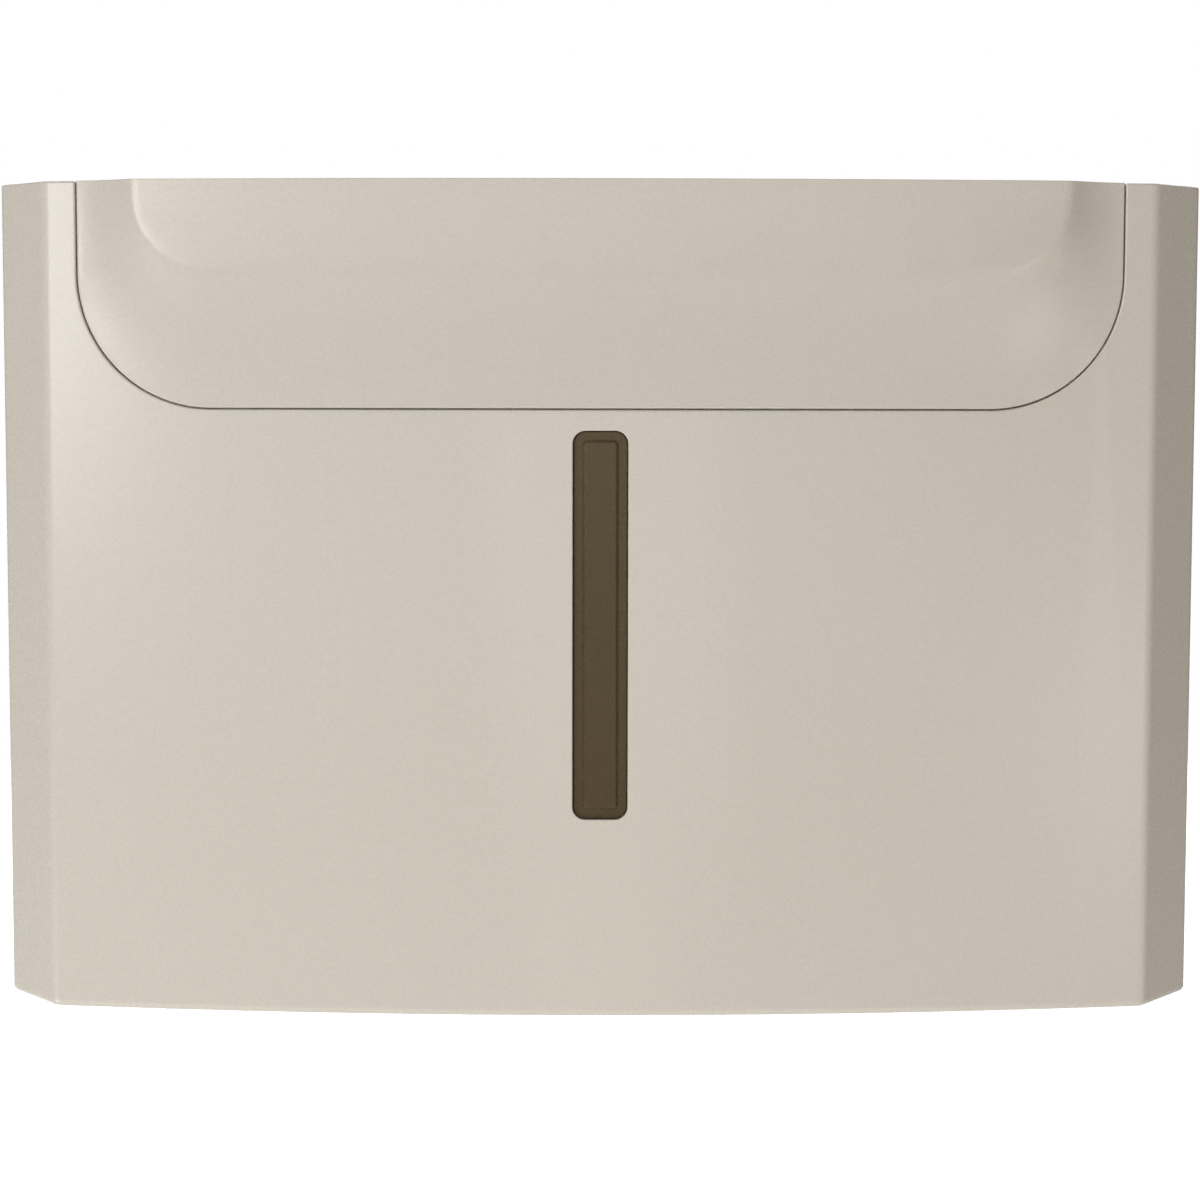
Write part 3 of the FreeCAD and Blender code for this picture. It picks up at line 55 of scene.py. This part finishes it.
# ---------------------------------------------------------------- material building blocks
class Shader:
    """A material with a Principled shader and short calls for the nodes that feed it."""

    def __init__(self, name):
        self.material = bpy.data.materials.new(name)
        self.material.use_nodes = True
        self.tree = self.material.node_tree
        self.surface = self.tree.nodes["Principled BSDF"]
        self.place = self.tree.nodes.new("ShaderNodeTexCoord").outputs["Object"]

    def node(self, kind, **settings):
        made = self.tree.nodes.new(kind)
        for key, value in settings.items():
            setattr(made, key, value)
        return made

    def link(self, source, target):
        self.tree.links.new(source, target)

    def stretched(self, x, y, z):
        """Object coordinates scaled along each axis: a small factor draws the pattern out along it."""
        mapping = self.node("ShaderNodeMapping")
        mapping.inputs["Scale"].default_value = (x, y, z)
        self.link(self.place, mapping.inputs["Vector"])
        return mapping.outputs["Vector"]

    def noise(self, size, detail=2.0, roughness=0.5, vector=None):
        """Noise whose lumps are about size metres across."""
        made = self.node("ShaderNodeTexNoise")
        made.inputs["Scale"].default_value = 1.0 / size
        made.inputs["Detail"].default_value = detail
        made.inputs["Roughness"].default_value = roughness
        self.link(vector or self.place, made.inputs["Vector"])
        return made.outputs["Fac"]

    def ramp(self, value, stops):
        """Maps a value to a colour through (position, colour) stops."""
        made = self.node("ShaderNodeValToRGB")
        elements = made.color_ramp.elements
        while len(elements) < len(stops):
            elements.new(0.5)
        for element, (position, colour) in zip(elements, stops):
            element.position = position
            element.color = colour
        self.link(value, made.inputs["Fac"])
        return made.outputs["Color"]

    def spread(self, value, low, high, to_low, to_high):
        """Maps low..high of a value to to_low..to_high, held at the ends."""
        made = self.node("ShaderNodeMapRange")
        for key, number in (("From Min", low), ("From Max", high), ("To Min", to_low), ("To Max", to_high)):
            made.inputs[key].default_value = number
        self.link(value, made.inputs["Value"])
        return made.outputs["Result"]

    def mix(self, factor, first, second):
        """First colour at factor 0, second at factor 1; each may be a value or a socket."""
        made = self.node("ShaderNodeMix", data_type="RGBA")
        for key, value in (("Factor", factor), ("A", first), ("B", second)):
            socket = [s for s in made.inputs if s.name == key and s.enabled][0]
            if isinstance(value, (int, float, tuple)):
                socket.default_value = value
            else:
                self.link(value, socket)
        return [s for s in made.outputs if s.enabled][0]

    def soft_edges(self, radius):
        """Shades sharp edges as if they were rounded by radius metres."""
        made = self.node("ShaderNodeBevel", samples=6)
        made.inputs["Radius"].default_value = radius
        return made.outputs["Normal"]

    def bump(self, height, depth, under=None):
        """Raises the surface by depth metres over the height's range."""
        made = self.node("ShaderNodeBump")
        made.inputs["Distance"].default_value = depth
        self.link(height, made.inputs["Height"])
        if under is not None:
            self.link(under, made.inputs["Normal"])
        return made.outputs["Normal"]

    def set(self, **values):
        """Sets the shader's own sockets, for what is the same all over the surface."""
        for key, value in values.items():
            self.surface.inputs[key.replace("_", " ")].default_value = value

    def feed(self, **sources):
        """Links what varies over the surface to the shader's sockets."""
        for key, source in sources.items():
            self.link(source, self.surface.inputs[key.replace("_", " ")])

    def edges(self, low, high):
        """1 on convex edges, 0 on flats, as the mask for a painted highlight along edges; low and high are
        pointiness, 0.5 on a flat.
        """
        point = self.node("ShaderNodeNewGeometry").outputs["Pointiness"]
        return self.spread(point, low, high, 0.0, 1.0)


# ---------------------------------------------------------------- materials
def moulded_plastic(name, colour, gloss=0.27, specks=0.5, tint=None):
    """Injection moulded plastic: slow colour drift, orange peel, fine grain, a few dark specks and painted
    highlights on convex edges.
    """
    drift_size = 0.22
    pepper_size = 0.0006
    speck_spacing = 0.016
    speck_patch_size = 0.03
    peel_size, peel_depth = 0.0011, 0.000005
    grain_size, grain_depth = 0.00028, 0.000003
    edge_radius = 0.0005
    gloss_range = 0.03
    m = Shader(name)
    cloud = m.noise(drift_size, detail=0)
    warm = tint or scaled(colour, 0.97)
    body = m.ramp(cloud, [(0.25, colour), (0.75, warm)])
    pepper = m.noise(pepper_size, detail=2, roughness=0.6)
    body = m.mix(m.spread(pepper, 0.3, 0.7, 0.0, 0.12), body, scaled(colour, 0.85))
    if specks:
        cells = m.node("ShaderNodeTexVoronoi")
        cells.inputs["Scale"].default_value = 1.0 / speck_spacing
        m.link(m.place, cells.inputs["Vector"])
        # the distance is in cells: a speck is a small disc at the cell's point
        dot = m.spread(cells.outputs["Distance"], 0.008, 0.016, 1.0, 0.0)
        chosen = m.spread(m.noise(speck_patch_size, detail=0), 0.56, 0.6, 0.0, specks)
        both = m.node("ShaderNodeMath", operation="MULTIPLY")
        m.link(dot, both.inputs[0])
        m.link(chosen, both.inputs[1])
        body = m.mix(both.outputs[0], body, scaled(colour, 0.3))
    # painted highlight: convex edges, found by pointiness, are mixed up to a quarter of the way towards a
    # colour 1.12 times as light
    painted_edge_highlight = m.edges(0.515, 0.56)
    body = m.mix(m.spread(painted_edge_highlight, 0.0, 1.0, 0.0, 0.25), body, scaled(colour, 1.12))
    m.feed(Base_Color=body)
    m.feed(Roughness=m.spread(pepper, 0.3, 0.7, gloss - gloss_range, gloss + gloss_range))
    peel = m.noise(peel_size, detail=1.0, roughness=0.4)
    skin = m.bump(peel, peel_depth, under=m.soft_edges(edge_radius))
    skin = m.bump(m.noise(grain_size, detail=2.0), grain_depth, under=skin)
    m.feed(Normal=skin)
    m.set(IOR=PLASTIC_IOR)
    return m.material


def textured_plastic(name, colour, gloss=0.55):
    """Spark-eroded matt plastic of inner parts: coarser grain, faint flow marks and painted highlights on
    convex edges.
    """
    m = Shader(name)
    flow = m.noise(0.05, detail=4, vector=m.stretched(1.0, 1.0, 0.25))
    body = m.ramp(flow, [(0.3, colour), (0.7, scaled(colour, 0.92))])
    # painted highlight: convex edges, found by pointiness, are mixed up to 0.3 of the way towards a colour
    # 1.15 times as light
    painted_edge_highlight = m.edges(0.515, 0.57)
    body = m.mix(m.spread(painted_edge_highlight, 0.0, 1.0, 0.0, 0.3), body, scaled(colour, 1.15))
    m.feed(Base_Color=body)
    m.feed(Roughness=m.spread(m.noise(0.004, detail=4), 0.3, 0.7, gloss - 0.06, gloss + 0.08))
    grain_size, grain_depth = 0.0006, 0.00003
    m.feed(Normal=m.bump(m.noise(grain_size, detail=3.0, roughness=0.7), grain_depth))
    return m.material


def smoked_pane(name):
    """Smoked brown polycarbonate: tinted, partly see-through, with fine flow lines and dust."""
    m = Shader(name)
    deep = linear(83, 69, 44)
    lighter = linear(94, 80, 53)
    flow = m.noise(0.03, detail=1, vector=m.stretched(1.0, 1.0, 0.3))
    body = m.ramp(flow, [(0.3, deep), (0.75, lighter)])
    dust = m.spread(m.noise(0.0009, detail=3, roughness=0.7), 0.6, 0.76, 0.0, 0.12)
    body = m.mix(dust, body, linear(128, 112, 86))
    m.feed(Base_Color=body)
    m.feed(Roughness=m.spread(m.noise(0.003, detail=2), 0.3, 0.7, 0.24, 0.3))
    m.set(Transmission_Weight=0.15, IOR=PLASTIC_IOR, Specular_IOR_Level=0.28)
    ripple_size, ripple_depth, edge_radius = 0.0007, 0.000004, 0.0004
    ripple = m.noise(ripple_size, detail=1)
    m.feed(Normal=m.bump(ripple, ripple_depth, under=m.soft_edges(edge_radius)))
    return m.material


def rolled_steel(name, colour, roughness=0.32, streak=(1.0, 1.0, 0.05)):
    """Zinc plated or ground steel: streaks along one way and dull blooms."""
    m = Shader(name)
    m.set(Metallic=1.0)
    lines = m.noise(0.0004, detail=4, roughness=0.7, vector=m.stretched(*streak))
    bloom = m.noise(0.006, detail=4)
    body = m.ramp(bloom, [(0.3, colour), (0.7, scaled(colour, 0.86))])
    body = m.mix(m.spread(lines, 0.3, 0.7, 0.0, 0.15), body, scaled(colour, 0.7))
    m.feed(Base_Color=body)
    m.feed(Roughness=m.spread(lines, 0.3, 0.7, roughness - 0.08, roughness + 0.1))
    m.feed(Normal=m.bump(lines, 0.000004))
    return m.material


def plated_zinc(name, colour, roughness=0.14):
    """Bright plating with a faint cast unevenness and painted highlights on convex edges."""
    m = Shader(name)
    m.set(Metallic=1.0)
    cast = m.noise(0.003, detail=3)
    body = m.ramp(cast, [(0.3, colour), (0.75, scaled(colour, 0.93))])
    # painted highlight: convex edges, found by pointiness, turn towards a colour 1.2 times as bright
    m.feed(Base_Color=m.mix(m.edges(0.52, 0.6), body, scaled(colour, 1.2)))
    m.feed(Roughness=m.spread(m.noise(0.0015, detail=4), 0.3, 0.7, roughness, roughness + 0.12))
    m.feed(Normal=m.bump(cast, 0.00001))
    return m.material


def black_rubber(name):
    """Soft black rubber with dust in its pores."""
    m = Shader(name)
    dust = m.noise(0.002, detail=5, roughness=0.7)
    m.feed(Base_Color=m.ramp(dust, [(0.4, linear(38, 38, 38)), (0.8, linear(70, 68, 64))]))
    m.feed(Roughness=m.spread(dust, 0.3, 0.7, 0.62, 0.82))
    m.feed(Normal=m.bump(m.noise(0.0004, detail=3), 0.00002))
    return m.material


COVER = linear(212, 204, 193)
SLOTS = {
    "cover_plastic": moulded_plastic("cover_plastic", COVER, tint=linear(209, 202, 190)),
    "brow_plastic": moulded_plastic("brow_plastic", scaled(COVER, 0.985), tint=linear(206, 199, 187)),
    "plate_plastic": textured_plastic("plate_plastic", linear(196, 189, 178)),
    "magazine_plastic": textured_plastic("magazine_plastic", linear(168, 166, 160)),
    "guide_plastic": textured_plastic("guide_plastic", linear(198, 196, 190), gloss=0.48),
    "frame_plastic": textured_plastic("frame_plastic", linear(64, 62, 59)),
    "bezel_plastic": moulded_plastic("bezel_plastic", linear(88, 84, 78), gloss=0.3, specks=0),
    "smoked_window": smoked_pane("smoked_window"),
    "lock_chrome": plated_zinc("lock_chrome", (0.78, 0.78, 0.79, 1.0)),
    "lock_brass": plated_zinc("lock_brass", (0.75, 0.56, 0.28, 1.0), roughness=0.24),
    "strike_steel": rolled_steel("strike_steel", (0.62, 0.63, 0.65, 1.0), streak=(1.0, 0.05, 0.05)),
    "pin_steel": rolled_steel("pin_steel", (0.68, 0.68, 0.69, 1.0), roughness=0.22, streak=(0.05, 1, 1)),
    "zinc_screw": rolled_steel("zinc_screw", (0.72, 0.72, 0.7, 1.0), roughness=0.26, streak=(1, 1, 1)),
    "bumper_rubber": black_rubber("bumper_rubber"),
}


def dress_nodes():
    """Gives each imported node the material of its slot."""
    for entry in frame["record"]["subparts"]:
        thing = frame["nodes"][entry["node"]]
        thing.data.materials.clear()
        thing.data.materials.append(SLOTS[entry["material_slot"]])


# ---------------------------------------------------------------- studio
MIDDLE = (0.0, -0.08, 0.0)
WHITE = (1.0, 1.0, 1.0)
WARM_WHITE = (1.0, 0.985, 0.965)

# name: (place, width, height, watts, colour, aim)
SOFTBOXES = {
    "window_key": ((-1.3, -2.3, 0.4), 0.9, 0.9, 2.8, (1.0, 0.985, 0.98), MIDDLE),
    "front_fill": ((0.0, -1.4, 0.1), 0.8, 0.6, 1.4, WHITE, MIDDLE),
    "right_fill": ((0.5, -1.1, 0.15), 0.4, 0.5, 0.12, (1.0, 0.78, 0.6), MIDDLE),
    "band_strip": ((-0.52, -0.96, 0.22), 0.14, 0.45, 2.6, WHITE, MIDDLE),
    "low_fill": ((0.0, -0.9, -0.6), 0.8, 0.4, 1.0, WHITE, MIDDLE),
    "low_left": ((-0.8, -0.7, -0.6), 0.5, 0.4, 4.0, WHITE, MIDDLE),
    "top_strip": ((0.0, -0.25, 1.1), 0.8, 0.15, 2.6, WHITE, MIDDLE),
    "right_patch": ((0.52, -0.92, -0.14), 0.25, 0.12, 0.4, (1.0, 0.98, 0.94), MIDDLE),
    "side_strip": ((0.85, -0.72, -0.45), 0.05, 0.5, 0.8, (1.0, 0.84, 0.7), MIDDLE),
    # these two hang over the floor behind and in front of the dispenser and face straight down
    "overhead": ((0.0, 4.2, 2.0), 6.0, 5.0, 330.0, WHITE, (0.0, 4.2, FLOOR_LEVEL)),
    "front_overhead": ((0.0, -2.6, 2.0), 6.0, 4.0, 30.0, WARM_WHITE, (0.0, -2.6, FLOOR_LEVEL)),
}


def softbox(name, place, width, height, watts, colour, aim):
    """A rectangular area light that faces its aim."""
    light = bpy.data.lights.new(name, "AREA")
    light.shape = "RECTANGLE"
    light.size, light.size_y = width, height
    light.energy = watts
    light.color = colour
    thing = bpy.data.objects.new(name, light)
    thing.location = place
    thing.rotation_euler = (Vector(aim) - Vector(place)).to_track_quat("-Z", "Y").to_euler()
    bpy.context.scene.collection.objects.link(thing)


def pale_floor():
    """A plain square sheet under the dispenser."""
    mesh = bpy.data.meshes.new("floor")
    corners = [(-1, -1), (1, -1), (1, 1), (-1, 1)]
    mesh.from_pydata([(x * FLOOR_HALF, y * FLOOR_HALF, FLOOR_LEVEL) for x, y in corners], [], [(0, 1, 2, 3)])
    floor = bpy.data.objects.new("floor", mesh)
    bpy.context.scene.collection.objects.link(floor)
    m = Shader("floor_paint")
    tones = [(0.3, linear(244, 244, 243)), (0.7, linear(238, 238, 237))]
    m.feed(Base_Color=m.ramp(m.noise(0.6, detail=3), tones))
    m.set(Roughness=0.8)
    mesh.materials.append(m.material)


def pale_air():
    """Surroundings that are bright to the eye and dim as a light."""
    world = bpy.data.worlds.new("studio_air")
    world.use_nodes = True
    bpy.context.scene.world = world
    tree = world.node_tree
    seen = tree.nodes["Background"]
    seen.inputs["Color"].default_value = (1.0, 1.0, 1.0, 1.0)
    seen.inputs["Strength"].default_value = 1.0
    lit = tree.nodes.new("ShaderNodeBackground")
    lit.inputs["Color"].default_value = (1.0, 0.99, 0.97, 1.0)
    lit.inputs["Strength"].default_value = 0.01
    path = tree.nodes.new("ShaderNodeLightPath")
    mix = tree.nodes.new("ShaderNodeMixShader")
    tree.links.new(path.outputs["Is Camera Ray"], mix.inputs["Fac"])
    tree.links.new(lit.outputs["Background"], mix.inputs[1])
    tree.links.new(seen.outputs["Background"], mix.inputs[2])
    tree.links.new(mix.outputs["Shader"], tree.nodes["World Output"].inputs["Surface"])


def camera():
    """Straight-on view from a little above the middle, aimed slightly down."""
    sensor_mm, focal_mm = 36.0, 77.1
    distance, aside_place, height = 0.590, -0.0022, 0.0457
    down, aside, roll = math.radians(4.34), math.radians(0.20), math.radians(-0.10)
    lens = bpy.data.cameras.new("camera")
    lens.sensor_width = sensor_mm
    lens.lens = focal_mm
    lens.clip_start = 0.01
    thing = bpy.data.objects.new("camera", lens)
    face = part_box("front_cover")[0].y
    thing.location = (aside_place, face - distance, height)
    thing.rotation_mode = "XYZ"
    thing.rotation_euler = (math.pi / 2 - down, roll, -aside)
    bpy.context.scene.collection.objects.link(thing)
    bpy.context.scene.camera = thing


dress_nodes()
for name, settings in SOFTBOXES.items():
    softbox(name, *settings)
pale_floor()
pale_air()
camera()
bpy.context.scene.view_settings.view_transform = "Standard"
